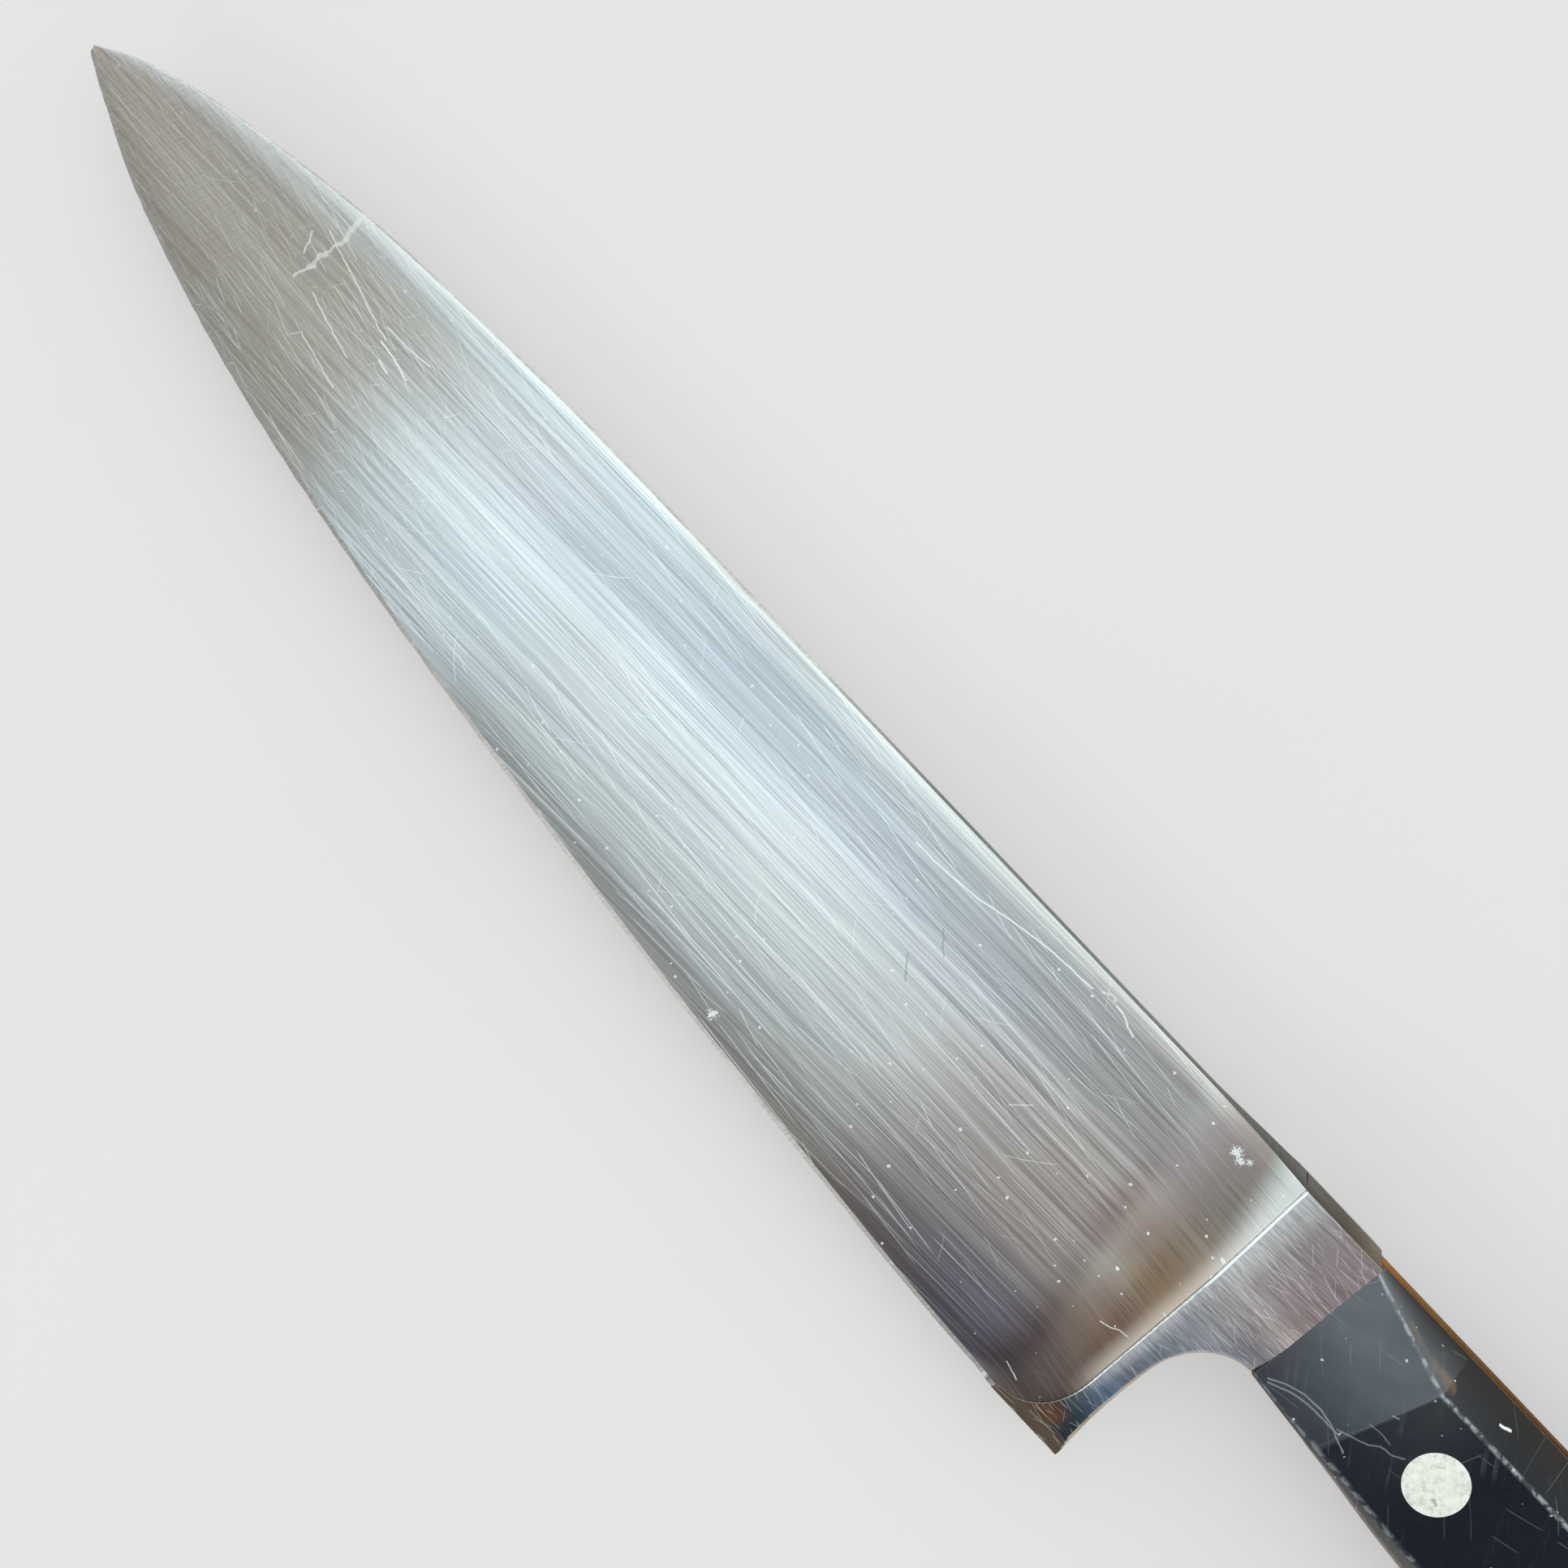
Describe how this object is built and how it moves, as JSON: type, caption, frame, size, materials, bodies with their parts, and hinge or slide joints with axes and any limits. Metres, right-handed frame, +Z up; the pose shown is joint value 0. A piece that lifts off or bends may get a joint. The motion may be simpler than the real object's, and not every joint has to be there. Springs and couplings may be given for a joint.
{
  "type": "chef knife",
  "caption": "Forged kitchen knife with a full bolster and full tang: broad blade, straight spine, curved edge, and riveted black handle scales.",
  "frame": {"origin": "on the surface that the knife lies on, under the middle of its bounding box", "axes": "+X from the tip to the butt, +Y from the cutting edge to the spine, +Z up through the thickness, out of the blade's left side"},
  "size_m": [0.3339, 0.045, 0.017],
  "materials": {
    "blade_steel": "fine ground satin, brushed along the blade, with use scratches",
    "handle_plastic": "satin black acetal, handled to a soft sheen, worn pale on its corners",
    "rivet_metal": "ground flush, pale and slightly mottled"
  },
  "bodies": {
    "root": {"blade_forging": "blade_steel", "handle_scale_left": "handle_plastic", "handle_scale_right": "handle_plastic", "front_rivet_solid_half": "rivet_metal", "front_rivet_hollow_half": "rivet_metal", "middle_rivet_solid_half": "rivet_metal", "middle_rivet_hollow_half": "rivet_metal", "rear_rivet_solid_half": "rivet_metal", "rear_rivet_hollow_half": "rivet_metal"}
  },
  "joints": []
}
